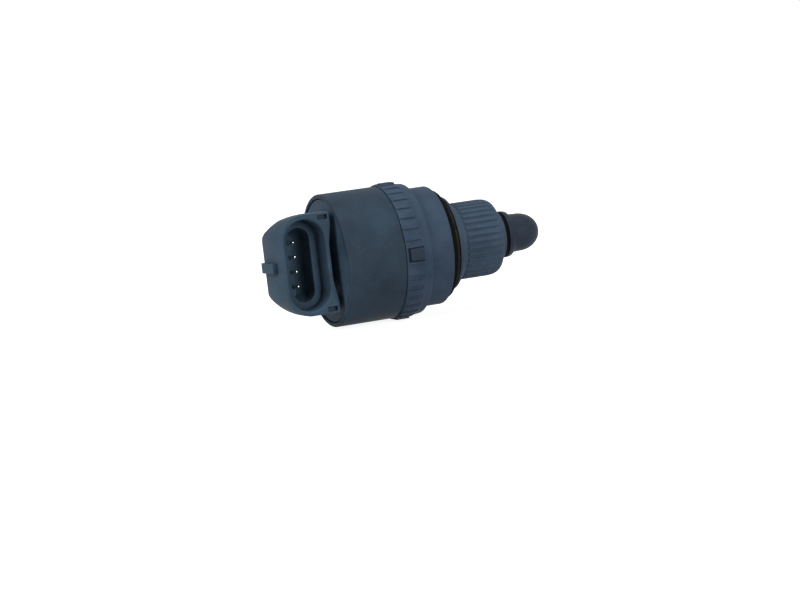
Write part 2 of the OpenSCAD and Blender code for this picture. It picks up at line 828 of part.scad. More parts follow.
casing();
front_body();
socket_cover();
terminal(0);  // terminal_1
terminal(1);  // terminal_2
terminal(2);  // terminal_3
terminal(3);  // terminal_4
lead(0);  // lead_1
lead(1);  // lead_2
lead(2);  // lead_3
lead(3);  // lead_4
guide_sleeve();
gasket();
washer();
stem_seal();
can_rear();
pole_plate(motor_mid - plate_t, motor_x0 + plate_t + 0.6, motor_mid - plate_t * 0.6, 180 / claw_count);  // pole_plate_rear
bobbin(motor_x0 + plate_t, motor_mid - plate_t);  // bobbin_rear
coil(motor_x0 + plate_t, motor_mid - plate_t);  // coil_rear
can_front();
pole_plate(motor_mid, motor_mid + plate_t * 0.6, motor_x1 - plate_t - 0.6, 270 / claw_count);  // pole_plate_front
bobbin(motor_mid + plate_t, motor_x1 - plate_t);  // bobbin_front
coil(motor_mid + plate_t, motor_x1 - plate_t);  // coil_front
rear_bush();
wave_washer();
bearing_outer();
bearing_inner();
bearing_balls();
rotor_hub();
rotor_magnet();
rotor_pin();
bearing_clip();
lead_screw();
pintle();
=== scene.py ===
import logging
import math
from collections.abc import Callable
from dataclasses import dataclass, field
from enum import Enum

import bpy
from bpy.types import Material, Node, NodeSocket, NodeTree, Object
from mathutils import Matrix, Vector


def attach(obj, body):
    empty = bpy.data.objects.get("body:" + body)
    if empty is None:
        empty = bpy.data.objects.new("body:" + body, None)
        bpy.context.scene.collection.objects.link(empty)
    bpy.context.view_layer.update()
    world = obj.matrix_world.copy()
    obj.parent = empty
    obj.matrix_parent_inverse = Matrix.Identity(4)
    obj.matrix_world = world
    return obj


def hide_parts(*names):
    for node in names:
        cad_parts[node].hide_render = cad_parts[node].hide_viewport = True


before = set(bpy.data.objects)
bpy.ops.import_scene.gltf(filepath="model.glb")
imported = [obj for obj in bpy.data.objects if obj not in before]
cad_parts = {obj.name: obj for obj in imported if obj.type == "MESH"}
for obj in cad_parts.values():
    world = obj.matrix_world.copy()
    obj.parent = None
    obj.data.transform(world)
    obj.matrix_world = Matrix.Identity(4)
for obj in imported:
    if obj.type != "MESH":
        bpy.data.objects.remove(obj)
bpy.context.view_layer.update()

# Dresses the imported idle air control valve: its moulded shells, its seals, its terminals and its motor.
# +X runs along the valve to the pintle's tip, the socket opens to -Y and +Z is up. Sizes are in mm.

MM = 0.001
VALVE_AXIS = (1.0, 0.0, 0.0)
CENTRE = (0.0, 0.0, 0.0)
TURN = 2.0 * math.pi
MERGE = 2e-6        # points closer than this, in metres, are one
RING_STEPS = 192    # steps in the full turn of a plain ring
OVER = 1.0          # how far a cutter reaches past what it cuts
SMOOTH_ANGLE = 40   # faces that meet at less than this, in degrees, look like one

log = logging.getLogger("valve")

Place = tuple[float, float, float]
Point = tuple[float, float]
Corner = tuple[float, ...]  # two coordinates and, where it is rounded, the fillet's radius, in mm


class Body(Enum):
    """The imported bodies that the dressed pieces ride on."""

    STATOR = "stator"
    PLUNGER = "plunger"


class Way(Enum):
    """What a second shape does to the piece that it meets."""

    CUT = "DIFFERENCE"
    ADD = "UNION"
    KEEP = "INTERSECT"


class Lay(Enum):
    """How the marks of working lie on a metal, as the squeeze of the pattern along X, Y and Z."""

    RINGS = (1.0, 0.06, 0.06)
    ALONG = (0.15, 1.0, 1.0)
    EVEN = (1.0, 1.0, 1.0)


def linear(hex_colour: str) -> tuple[float, float, float, float]:
    """Turns an sRGB hex colour to the linear colour that a shader takes.

    Args:
        hex_colour: Six hex digits, with or without a leading mark.

    Returns:
        Red, green, blue and alpha, each from 0 to 1.
    """
    digits = hex_colour.lstrip("#")
    parts = [int(digits[i:i + 2], 16) / 255 for i in (0, 2, 4)]
    lin = [c / 12.92 if c <= 0.04045 else ((c + 0.055) / 1.055) ** 2.4 for c in parts]
    return (lin[0], lin[1], lin[2], 1.0)


def per_mm(size_mm: float) -> float:
    """Gives a pattern's scale, in features per metre, from the real size of one feature."""
    return 1.0 / (size_mm * MM)


def add_node(tree: NodeTree, kind: str, settings: dict | None = None,
             values: dict | None = None, links: dict | None = None) -> Node:
    """Adds one shader node with its settings, its socket values and its incoming links.

    Args:
        tree: The material's node tree.
        kind: Blender's node type, without the word ShaderNode.
        settings: Attributes of the node itself.
        values: Input socket, by name or number, to the value it holds.
        links: Input socket, by name or number, to the output socket that feeds it.

    Returns:
        The new node.
    """
    node = tree.nodes.new(f"ShaderNode{kind}")
    for name, value in (settings or {}).items():
        setattr(node, name, value)
    for name, value in (values or {}).items():
        node.inputs[name].default_value = value
    for name, socket in (links or {}).items():
        tree.links.new(socket, node.inputs[name])
    return node


@dataclass(frozen=True)
class Finish:
    """What every finish shares: a name, two tones that meet in soft patches, and a range of roughness."""

    name: str
    deep: str
    pale: str
    rough_low: float
    rough_high: float
    patch_mm: float

    def material(self) -> Material:
        """Builds the material and lets the finish add its own marks."""
        mat = bpy.data.materials.new(self.name)
        mat.use_nodes = True
        tree = mat.node_tree
        shader = tree.nodes["Principled BSDF"]
        place = add_node(tree, "TexCoord").outputs["Object"]
        patch = add_node(tree, "TexNoise", values={
            "Scale": per_mm(self.patch_mm), "Detail": 4.0, "Roughness": 0.55}, links={"Vector": place})
        share = add_node(tree, "MapRange", values={"From Min": 0.32, "From Max": 0.68},
                         links={"Value": patch.outputs["Fac"]})
        tone = add_node(tree, "Mix", {"data_type": "RGBA"},
                        {"A": linear(self.deep), "B": linear(self.pale)}, {"Factor": share.outputs["Result"]})
        sheen = add_node(tree, "MapRange", values={
            "To Min": self.rough_low, "To Max": self.rough_high}, links={"Value": share.outputs["Result"]})
        tree.links.new(tone.outputs["Result"], shader.inputs["Base Color"])
        tree.links.new(sheen.outputs["Result"], shader.inputs["Roughness"])
        self.mark(tree, shader, place)
        return mat

    def mark(self, tree: NodeTree, shader: Node, place: NodeSocket) -> None:
        """Adds the marks of this finish. A plain one has none."""


@dataclass(frozen=True)
class MouldedPlastic(Finish):
    """Glass-filled nylon from a sparked mould: dull, cool, with an even grain and short pale fibres."""

    rough_low: float = 0.56
    rough_high: float = 0.7
    patch_mm: float = 9.0
    grain_mm: float = 0.5
    grain_depth_mm: float = 0.02
    fleck: str = "#66717B"
    fleck_share: float = 0.16

    def mark(self, tree: NodeTree, shader: Node, place: NodeSocket) -> None:
        """Adds the spark grain, and glass fibres that lie along the flow and leave pale flecks.

        Args:
            tree: The material's node tree.
            shader: Its main shader.
            place: The place on the object.
        """
        # the spark grain is finer than a pixel, so it is drawn about twice as coarse as it is
        grain = add_node(tree, "TexNoise", values={
            "Scale": per_mm(self.grain_mm), "Detail": 2.0, "Roughness": 0.6}, links={"Vector": place})
        flow = add_node(tree, "Mapping", values={"Scale": (0.4, 1.0, 1.0)}, links={"Vector": place})
        fibre = add_node(tree, "TexVoronoi", values={"Scale": per_mm(0.8)},
                         links={"Vector": flow.outputs["Vector"]})
        amount = add_node(tree, "MapRange", values={
            "From Min": 0.04, "From Max": 0.2, "To Min": self.fleck_share, "To Max": 0.0},
            links={"Value": fibre.outputs["Distance"]})
        under = shader.inputs["Base Color"].links[0].from_socket
        tone = add_node(tree, "Mix", {"data_type": "RGBA"}, {"B": linear(self.fleck)},
                        {"Factor": amount.outputs["Result"], "A": under})
        tree.links.new(tone.outputs["Result"], shader.inputs["Base Color"])
        bump = add_node(tree, "Bump", values={
            "Strength": 0.4, "Distance": self.grain_depth_mm * MM}, links={"Height": grain.outputs["Fac"]})
        tree.links.new(bump.outputs["Normal"], shader.inputs["Normal"])
        shader.inputs["IOR"].default_value = 1.53
        shader.inputs["Specular IOR Level"].default_value = 0.08


@dataclass(frozen=True)
class MouldedRubber(Finish):
    """Black nitrile rubber from a press: near black, partly its own black and partly painted shade of the
    gaps that it sits in, with a soft sheen and a trace of bloom.
    """

    rough_low: float = 0.68
    rough_high: float = 0.84
    patch_mm: float = 2.5

    def mark(self, tree: NodeTree, shader: Node, place: NodeSocket) -> None:
        """Adds the faint pebbling that the press leaves."""
        pebble = add_node(tree, "TexNoise", values={"Scale": per_mm(0.6), "Detail": 3.0},
                          links={"Vector": place})
        bump = add_node(tree, "Bump", values={"Strength": 0.3, "Distance": 0.02 * MM},
                        links={"Height": pebble.outputs["Fac"]})
        tree.links.new(bump.outputs["Normal"], shader.inputs["Normal"])
        shader.inputs["IOR"].default_value = 1.52
        shader.inputs["Specular IOR Level"].default_value = 0.05


@dataclass(frozen=True)
class WorkedMetal(Finish):
    """A bare or plated metal that shows how it was made: turned in rings, rolled along, or pressed."""

    patch_mm: float = 3.0
    mark_mm: float = 0.3
    lay: Lay = Lay.RINGS

    def mark(self, tree: NodeTree, shader: Node, place: NodeSocket) -> None:
        """Adds the tool marks, which break up the reflection."""
        # tool marks are finer than a pixel, so they are drawn coarse enough to show
        squeeze = add_node(tree, "Mapping", values={"Scale": self.lay.value},
                           links={"Vector": place})
        marks = add_node(tree, "TexNoise", values={"Scale": per_mm(self.mark_mm), "Detail": 3.0},
                         links={"Vector": squeeze.outputs["Vector"]})
        bump = add_node(tree, "Bump", values={"Strength": 0.25, "Distance": 0.01 * MM},
                        links={"Height": marks.outputs["Fac"]})
        tree.links.new(bump.outputs["Normal"], shader.inputs["Normal"])
        shader.inputs["Metallic"].default_value = 1.0


@dataclass(frozen=True)
class WoundWire(Finish):
    """Enamelled copper wire in layers: orange-brown, glossy, ridged at the wire's pitch."""

    rough_low: float = 0.25
    rough_high: float = 0.4
    patch_mm: float = 1.2
    pitch_mm: float = 0.25

    def mark(self, tree: NodeTree, shader: Node, place: NodeSocket) -> None:
        """Adds one ridge for each turn of the wire."""
        # a wave texture repeats about every 0.31 of its own unit
        ridge = add_node(tree, "TexWave", {"bands_direction": "X"}, {
            "Scale": per_mm(self.pitch_mm) * 0.31, "Distortion": 0.6, "Detail": 2.0}, {"Vector": place})
        bump = add_node(tree, "Bump", values={"Strength": 0.6, "Distance": 0.05 * MM},
                        links={"Height": ridge.outputs["Fac"]})
        tree.links.new(bump.outputs["Normal"], shader.inputs["Normal"])


# every finish on the valve
FINISHES: dict[str, Finish] = {
    "casing": MouldedPlastic("moulded_nylon_casing", "#25313D", "#31404D"),
    "band": MouldedPlastic("moulded_nylon_band", "#2F3E4E", "#3D4B5E"),
    "cover": MouldedPlastic("moulded_nylon_cover", "#2D3E4C", "#3C4F60"),
    "sleeve": MouldedPlastic("moulded_nylon_sleeve", "#334251", "#425162", 0.52, 0.66),
    "pintle": MouldedPlastic("moulded_acetal_pintle", "#242C38", "#2D3744", 0.4, 0.52, 6.0, 0.35, 0.012,
                             fleck_share=0.05),
    # the rubber's own black, darkened further with painted shade of the gaps where the gasket and the stem
    # seal sit
    "rubber": MouldedRubber("black_rubber_with_painted_gap_shade", "#060607", "#0D0E10"),
    # brass darkened to near black: painted shade of the narrow gap between the gasket and the sleeve's flange
    # where the washer sits
    "brass": WorkedMetal("turned_brass_darkened_as_painted_shade", "#161511", "#292720", 0.5, 0.65),
    "tin": WorkedMetal("bright_tin_plate", "#DAD8D2", "#F2F0EA", 0.12, 0.22, lay=Lay.ALONG),
    "copper": WoundWire("enamelled_copper_winding", "#6B3216", "#A8602F"),
    "zinc": WorkedMetal("zinc_plated_pressed_steel", "#9EA3A6", "#C2C6C8", 0.3, 0.45, mark_mm=0.5,
                        lay=Lay.EVEN),
    "bobbin": MouldedPlastic("moulded_natural_nylon", "#D2CCBC", "#E0DBCD", fleck="#F0ECE2"),
    "bronze": WorkedMetal("sintered_bronze", "#8A6636", "#B08A52", 0.45, 0.6, mark_mm=0.2, lay=Lay.EVEN),
    "steel": WorkedMetal("ground_bearing_steel", "#BFC2C6", "#D5D7DA", 0.15, 0.28),
    "ferrite": MouldedPlastic("ground_ferrite", "#1E1E20", "#2A2A2C", 0.4, 0.55, fleck="#3C3C3E"),
}


def rounded(corners: list[Corner], closed: bool = True, arc_steps: int = 5) -> list[Point]:
    """Rounds the corners of an outline with arcs.

    Args:
        corners: The outline's corners in order.
        closed: Whether the last corner joins the first.
        arc_steps: Number of straight pieces in one fillet.

    Returns:
        The outline's points in mm.
    """
    out: list[Point] = []
    places = [Vector(corner[:2]) for corner in corners]
    for i, here in enumerate(places):
        if len(corners[i]) < 3 or (not closed and i in (0, len(places) - 1)):
            out.append((here.x, here.y))
            continue
        back = places[i - 1] - here
        ahead = places[(i + 1) % len(places)] - here
        half = back.angle(ahead) / 2
        reach = min(corners[i][2] / math.tan(half), 0.49 * back.length, 0.49 * ahead.length)
        radius = reach * math.tan(half)
        centre = here + (back.normalized() + ahead.normalized()).normalized() * (radius / math.sin(half))
        start = here + back.normalized() * reach - centre
        end = here + ahead.normalized() * reach - centre
        sweep = start.angle_signed(end)
        for k in range(arc_steps + 1):
            spoke = start.copy()
            spoke.rotate(Matrix.Rotation(-sweep * k / arc_steps, 2))
            out.append(((centre + spoke).x, (centre + spoke).y))
    return out


def set_mode(name: str) -> None:
    """Switches the active object to OBJECT or EDIT mode."""
    bpy.ops.object.mode_set(mode=name)


def deselect() -> None:
    """Leaves nothing selected, so that an operator meets only what the next line picks."""
    if bpy.context.object and bpy.context.object.mode != "OBJECT":
        set_mode("OBJECT")
    bpy.ops.object.select_all(action="DESELECT")


def pick(obj: Object) -> None:
    """Makes one object the only selected and the active one."""
    deselect()
    obj.select_set(True)
    bpy.context.view_layer.objects.active = obj


def open_where(obj: Object, kind: str, elements: str, wanted: Callable[..., bool]) -> None:
    """Opens an object in edit mode with only its wanted elements selected.

    Args:
        obj: The object to edit.
        kind: Blender's select mode.
        elements: The mesh's list of such elements.
        wanted: Says of one element whether it is wanted.
    """
    pick(obj)
    set_mode("EDIT")
    bpy.ops.mesh.select_mode(type=kind)
    bpy.ops.mesh.select_all(action="DESELECT")
    set_mode("OBJECT")
    for element in getattr(obj.data, elements):
        element.select = wanted(element)
    set_mode("EDIT")


def open_points(obj: Object, test: Callable[[Vector], bool]) -> None:
    """Opens an object with the points selected whose place, in mm, passes a test."""
    open_where(obj, "VERT", "vertices", lambda vert: test(vert.co / MM))


def open_faces(obj: Object, test: Callable[[Vector, Vector], bool]) -> None:
    """Opens an object with the faces selected whose centre, in mm, and normal pass a test."""
    open_where(obj, "FACE", "polygons", lambda face: test(face.center / MM, face.normal))


def close(obj: Object) -> Object:
    """Merges doubled points, turns every face outwards and leaves edit mode."""
    pick(obj)
    set_mode("EDIT")
    bpy.ops.mesh.select_mode(type="VERT")
    bpy.ops.mesh.select_all(action="SELECT")
    bpy.ops.mesh.remove_doubles(threshold=MERGE)
    bpy.ops.mesh.normals_make_consistent(inside=False)
    set_mode("OBJECT")
    return obj


def push(x: float = 0.0, y: float = 0.0, z: float = 0.0) -> None:
    """Extrudes what is selected in edit mode, by mm along each axis."""
    bpy.ops.mesh.extrude_region_move(TRANSFORM_OT_translate={"value": (x * MM, y * MM, z * MM)})


def shift(x: float = 0.0, y: float = 0.0, z: float = 0.0) -> None:
    """Moves what is selected in edit mode, by mm along each axis."""
    bpy.ops.transform.translate(value=(x * MM, y * MM, z * MM))


def drawn(name: str, path: list[Place], closed: bool) -> Object:
    """Draws a line from point to point, and leaves it selected in edit mode.

    Args:
        name: The new object's name.
        path: The points, in mm.
        closed: Whether the line ends where it starts.

    Returns:
        The object in edit mode.
    """
    deselect()
    bpy.ops.mesh.primitive_plane_add(size=MM)
    obj = bpy.context.object
    obj.name = name
    set_mode("EDIT")
    bpy.ops.mesh.merge(type="CENTER")
    shift(*path[0])
    stops = path + path[:1] if closed else path
    for before, after in zip(stops, stops[1:]):
        step = (Vector(after) - Vector(before)) * MM
        bpy.ops.mesh.extrude_vertices_move(TRANSFORM_OT_translate={"value": step})
    bpy.ops.mesh.select_all(action="SELECT")
    bpy.ops.mesh.remove_doubles(threshold=MERGE)
    return obj


def spun(name: str, outline: list[Point], steps: int, closed: bool = True) -> Object:
    """Spins an outline about the valve's axis.

    Args:
        name: The new object's name.
        outline: Points as (radius, station), in mm.
        steps: Number of steps in the full turn.
        closed: Whether the outline closes on itself rather than on the axis.

    Returns:
        The turned object.
    """
    obj = drawn(name, [(x, -r, 0.0) for r, x in outline], closed)
    bpy.ops.mesh.spin(steps=steps, angle=TURN, center=CENTRE, axis=VALVE_AXIS)
    return close(obj)


def block(name: str, low: Place, high: Place, bevel_mm: float = 0.0) -> Object:
    """Makes a block between two corners, with its edges rounded.

    Args:
        name: The new object's name.
        low: Lowest corner, in mm.
        high: Highest corner, in mm.
        bevel_mm: Radius of the rounded edges, or 0 for sharp ones.

    Returns:
        The block.
    """
    deselect()
    bpy.ops.mesh.primitive_cube_add(size=1.0)
    obj = bpy.context.object
    obj.name = name
    set_mode("EDIT")
    bpy.ops.transform.resize(value=(Vector(high) - Vector(low)) * MM)
    shift(*((Vector(high) + Vector(low)) / 2))
    if bevel_mm:
        bpy.ops.mesh.bevel(offset=bevel_mm * MM, segments=3, affect="EDGES")
    set_mode("OBJECT")
    return obj


def swing(obj: Object, angle: float) -> None:
    """Turns an object's points about the valve's axis, by degrees, from the socket side up and over."""
    open_points(obj, lambda point: True)
    bpy.ops.transform.rotate(value=math.radians(angle), orient_axis="X", center_override=CENTRE)
    set_mode("OBJECT")


def repeat_round(obj: Object, count: int, step: float | None = None) -> None:
    """Repeats an object's shape round the valve's axis, within its own mesh.

    Args:
        obj: The object with the first copy.
        count: How many there are in the end.
        step: Angle from one to the next, in degrees, or none to share out the full turn.
    """
    sweep = (step or 360 / count) * (count - 1)
    open_points(obj, lambda point: True)
    bpy.ops.mesh.spin(steps=count - 1, dupli=True, angle=math.radians(sweep), center=CENTRE, axis=VALVE_AXIS)
    set_mode("OBJECT")


def joined(parts: list[Object]) -> Object:
    """Joins several objects into the first of them."""
    pick(parts[0])
    for part in parts[1:]:
        part.select_set(True)
    bpy.ops.object.join()
    return bpy.context.object


def combine(obj: Object, tool: Object, way: Way) -> None:
    """Cuts, adds or keeps the space of a second shape, and deletes that shape.

    Args:
        obj: The object that changes.
        tool: The second shape.
        way: What it does.
    """
    pick(obj)
    mod = obj.modifiers.new("combine", "BOOLEAN")
    mod.object = tool
    mod.operation = way.value
    mod.solver = "MANIFOLD"
    bpy.ops.object.modifier_apply(modifier=mod.name)
    bpy.data.objects.remove(tool, do_unlink=True)


def soften(obj: Object, width_mm: float, least_angle: float, segments: int = 2) -> None:
    """Rounds every edge sharper than an angle.

    Args:
        obj: The object that changes.
        width_mm: Width of the rounding.
        least_angle: Least angle of a sharp edge, in degrees.
        segments: Number of faces across one rounding.
    """
    pick(obj)
    mod = obj.modifiers.new("soften", "BEVEL")
    mod.width = width_mm * MM
    mod.segments = segments
    mod.limit_method = "ANGLE"
    mod.angle_limit = math.radians(least_angle)
    mod.miter_outer = "MITER_ARC"
    mod.use_clamp_overlap = True
    bpy.ops.object.modifier_apply(modifier=mod.name)


@dataclass
class SubAssembly:
    """A part of the valve that is built and dressed on its own."""

    palette: dict[str, Material]

    def dress(self, obj: Object, name: str, finish: str, slot: str, *nodes: str,
              body: Body = Body.STATOR) -> None:
        """Smooths a piece, gives it its name, finish and body, and hides the CAD nodes that it stands for.

        Args:
            obj: The finished piece.
            name: Its name.
            finish: The name of its finish.
            slot: The record's material slot; not used.
            nodes: The CAD nodes that it replaces.
            body: The body that it moves with.
        """
        pick(obj)
        bpy.ops.object.shade_smooth_by_angle(angle=math.radians(SMOOTH_ANGLE))
        obj.name = name
        obj.data.materials.clear()
        obj.data.materials.append(self.palette[finish])
        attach(obj, body.value)
        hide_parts(*nodes)
        log.info("piece %s: %d faces, stands for %s", name, len(obj.data.polygons), ", ".join(nodes))


@dataclass
class Casing(SubAssembly):
    """Rear casing: the barrel, the cover's ledge, the lap under the band and the snap tabs."""

    rear_r: float = 18.33
    r: float = 18.26
    rim_wall: float = 1.15
    wall: float = 2.1
    rim_x: float = -24.6
    rim_round: float = 0.5
    cover_in_x: float = -22.1
    band_x: float = -7.7
    band_gap: float = 0.22
    lap_x1: float = -1.0
    lap_r: float = 18.0
    tab_count: int = 4
    tab_turn: float = -1.0
    tab_w: float = 3.3
    tab_len: float = 3.9
    tab_rear: float = 1.1
    tab_top: float = 18.9
    tab_sink: float = 0.5
    tab_round: float = 0.2
    draft: float = 0.03
    lap_step: float = 0.3
    steps: int = 240

    def build(self) -> None:
        """Builds the barrel with its tabs and dresses it."""
        x0 = self.band_x + self.tab_rear
        tabs = block("tabs", (x0, -self.tab_top, -self.tab_w / 2),
                     (x0 + self.tab_len, self.tab_sink - self.lap_r, self.tab_w / 2), self.tab_round)
        swing(tabs, self.tab_turn)
        repeat_round(tabs, self.tab_count)
        piece = joined([self.barrel(), tabs])
        self.dress(piece, "casing_shell", "casing", "casing_plastic", "casing")

    def barrel(self) -> Object:
        """Spins the barrel, with a trace of draft and a rounded rear rim."""
        inner = self.rear_r - self.rim_wall - self.draft
        bore = self.lap_r + self.lap_step - self.wall
        end = self.band_x - self.band_gap
        return spun("barrel", rounded([
            (inner, self.rim_x, 0.2), (self.rear_r, self.rim_x, self.rim_round),
            (self.r, end, 0.12), (self.lap_r, end, 0.05), (self.lap_r, self.lap_x1),
            (bore, self.lap_x1), (bore, self.cover_in_x), (inner, self.cover_in_x)]), self.steps)


@dataclass
class FrontBody(SubAssembly):
    """Front body: the slotted band, the seat face, the shoulder and the nose that carries the gasket."""

    band_x: float = -7.7
    crown_r: float = 18.8
    front_r: float = 17.97
    shoulder_r: float = 16.4
    shoulder_x1: float = 7.0
    nose_r: float = 13.8
    nose_x1: float = 8.7
    lap_r: float = 18.05
    slot_w: float = 1.5
    slot_len: float = 4.7
    slot_turn: float = -1.0
    slot_depth: float = 0.45
    slot_step: float = 10.0
    tab_count: int = 4
    slots_between: int = 8
    window_w: float = 4.0
    window_rear: float = 0.3
    window_len: float = 4.85
    window_sink: float = 0.4
    cut_r: float = 20.0
    bore_r: float = 7.2
    rear_x: float = -3.0
    spigot_r: float = 16.15
    lap_x1: float = -1.0
    lip_r: float = 18.5
    crown_dip: float = 0.02
    crown_end: float = -4.6
    crown_fall: tuple[Corner, ...] = (
        (18.62, -3.3, 1.5), (18.2, -1.95, 1.5), (18.08, -0.9, 0.6))
    sleeve_r: float = 8.6
    sleeve_x0: float = 3.4
    bearing_r: float = 8.0
    bearing_x0: float = -0.6
    edge_w: float = 0.09
    edge_angle: float = 32.0
    steps: int = 360

    def build(self) -> None:
        """Builds the body, cuts its slots and windows, rounds the edges and dresses it."""
        piece = self.blank()
        combine(piece, self.cutters(), Way.CUT)
        soften(piece, self.edge_w, self.edge_angle)
        self.dress(piece, "front_body_shell", "band", "front_plastic", "front_body")

    def blank(self) -> Object:
        """Spins the body before its slots are cut."""
        return spun("front_blank", rounded([
            (self.bore_r, self.rear_x), (self.spigot_r, self.rear_x),
            (self.spigot_r, self.lap_x1), (self.lap_r, self.lap_x1),
            (self.lap_r, self.band_x), (self.lip_r, self.band_x, 0.1),
            (self.crown_r, self.band_x + 0.75, 0.9),
            (self.crown_r - self.crown_dip, self.crown_end, 1.6), *self.crown_fall,
            (self.front_r, 0.0, 0.4), (self.shoulder_r, 0.0, 0.12),
            (self.shoulder_r, 2.2), (self.shoulder_r, self.shoulder_x1, 0.55),
            (self.nose_r, self.shoulder_x1), (self.nose_r, self.nose_x1),
            (self.sleeve_r, self.nose_x1), (self.sleeve_r, self.sleeve_x0),
            (self.bearing_r, self.sleeve_x0), (self.bearing_r, self.bearing_x0),
            (self.bore_r, self.bearing_x0)]), self.steps)

    def cutters(self) -> Object:
        """Makes the ring of slot cutters in one object, with a wider one where a snap tab sits."""
        slots = block("slots", (self.band_x - OVER, -self.cut_r, -self.slot_w / 2),
                      (self.band_x + self.slot_len, self.slot_depth - self.crown_r, self.slot_w / 2))
        swing(slots, self.slot_turn + self.slot_step)
        repeat_round(slots, self.slots_between, self.slot_step)
        repeat_round(slots, self.tab_count)
        x0 = self.band_x + self.window_rear
        windows = block("windows", (x0, -self.cut_r, -self.window_w / 2),
                        (x0 + self.window_len, self.window_sink - self.lap_r, self.window_w / 2))
        swing(windows, self.slot_turn)
        repeat_round(windows, self.tab_count)
        return joined([slots, windows])


@dataclass
class GuideSleeve(SubAssembly):
    """Guide sleeve: the spigot, the flange, the flare and the grooved neck with its front boss."""

    bore_r: float = 5.0
    spigot_r: float = 8.6
    spigot_x0: float = 3.4
    flange_r: float = 12.9
    flange_x0: float = 10.3
    flange_x1: float = 11.0
    neck_r: float = 10.65
    flare_x1: float = 13.2
    groove_x0: float = 13.55
    neck_x1: float = 24.7
    boss_r: float = 6.9
    boss_x1: float = 26.7
    groove_r: float = 0.55
    groove_depth: float = 0.5
    groove_turn: float = 7.0
    groove_count: int = 36
    parting_depth: float = 0.3
    parting_w: float = 0.25
    flare_r: float = 12.05
    edge_w: float = 0.12
    edge_angle: float = 28.0

    def build(self) -> None:
        """Builds the sleeve, cuts its grooves, rounds the ribs and dresses it."""
        piece = self.blank()
        combine(piece, self.grooves(), Way.CUT)
        soften(piece, self.edge_w, self.edge_angle)
        self.dress(piece, "guide_sleeve_shell", "sleeve", "sleeve_plastic", "guide_sleeve")

    def blank(self) -> Object:
        """Spins the sleeve before its grooves are cut, with a fine parting step behind the ribs."""
        step_x = self.flare_x1 + 0.05
        step_r = self.neck_r - self.parting_depth
        return spun("sleeve_blank", rounded([
            (self.bore_r, self.spigot_x0), (self.spigot_r, self.spigot_x0),
            (self.spigot_r, self.flange_x0), (self.flange_r, self.flange_x0, 0.1),
            (self.flange_r, self.flange_x1, 0.15), (self.flare_r, self.flange_x1 + 0.25, 0.5),
            (self.neck_r + 0.25, self.flange_x1 + 1.25, 1.4), (self.neck_r + 0.02, self.flare_x1 - 0.3),
            (self.neck_r, self.flare_x1, 0.1), (step_r, step_x, 0.06),
            (step_r, step_x + self.parting_w, 0.06), (self.neck_r, step_x + 0.4, 0.12),
            (self.neck_r, self.neck_x1 - 3.0, 1.5), (self.neck_r - 0.2, self.neck_x1 - 1.3, 1.5),
            (self.neck_r - 0.9, self.neck_x1, 0.9), (self.boss_r + 0.1, self.neck_x1, 0.3),
            (self.boss_r, self.neck_x1 + 1.2, 0.8), (self.boss_r - 0.1, self.boss_x1, 0.4),
            (self.bore_r, self.boss_x1)]), 8 * self.groove_count)

    def grooves(self) -> Object:
        """Makes the ring of round-bottomed groove cutters, each with a domed rear end."""
        deselect()
        length = self.neck_x1 + 0.6 - self.groove_x0
        axis_y = -(self.neck_r - self.groove_depth + self.groove_r)
        bpy.ops.mesh.primitive_cylinder_add(vertices=16, radius=self.groove_r * MM, depth=length * MM,
                                            location=((self.groove_x0 + length / 2) * MM, axis_y * MM, 0.0),
                                            rotation=(0.0, math.pi / 2, 0.0))
        cutter = bpy.context.object
        bpy.ops.object.transform_apply()
        open_faces(cutter, lambda centre, normal: normal.x < -0.9)
        for reach, narrow in ((0.16, 0.85), (0.1, 0.6)):
            push(x=-reach)
            bpy.ops.transform.resize(value=(1.0, narrow, narrow))
        set_mode("OBJECT")
        swing(cutter, self.groove_turn)
        repeat_round(cutter, self.groove_count)
        return cutter


@dataclass
class Seals(SubAssembly):
    """The turned rings between the shells: the gasket, the brass washer and the stem seal."""

    gasket_r: float = 15.1
    gasket_in_r: float = 13.8
    shoulder_x1: float = 7.0
    nose_x1: float = 8.7
    washer_r: float = 12.9
    washer_in_r: float = 8.65
    flange_x0: float = 10.3
    seal_r: float = 6.3
    seal_in_r: float = 5.15
    seal_x0: float = 26.7
    seal_x1: float = 27.7

    def build(self) -> None:
        """Builds the three rings and dresses them."""
        # the gasket's near-black rubber is partly painted shade of its groove
        gasket = spun("gasket", rounded([
            (self.gasket_in_r, self.shoulder_x1), (self.gasket_r, self.shoulder_x1, 0.45),
            (self.gasket_r, self.nose_x1, 0.45), (self.gasket_in_r, self.nose_x1, 0.2)]), RING_STEPS)
        self.dress(gasket, "gasket_ring", "rubber", "black_rubber", "gasket")
        face_x = self.flange_x0 - 0.02
        washer = spun("washer", rounded([
            (self.washer_in_r, self.nose_x1), (self.washer_r, self.nose_x1, 0.2),
            (self.washer_r, face_x - 0.35, 0.12), (self.washer_r - 0.35, face_x, 0.1),
            (self.washer_in_r, face_x)]), RING_STEPS)
        # the washer's near-black brass is painted shade of its gap
        self.dress(washer, "brass_washer", "brass", "dull_brass", "washer")
        # the stem seal's near-black rubber is partly painted shade of the gap between the boss and the
        # pintle's collar
        seal = spun("seal", rounded([
            (self.seal_in_r, self.seal_x0), (self.seal_r, self.seal_x0, 0.15),
            (self.seal_r, self.seal_x1, 0.3), (self.seal_in_r, self.seal_x1, 0.2)]), 128)
        self.dress(seal, "stem_seal_ring", "rubber", "black_rubber", "stem_seal")


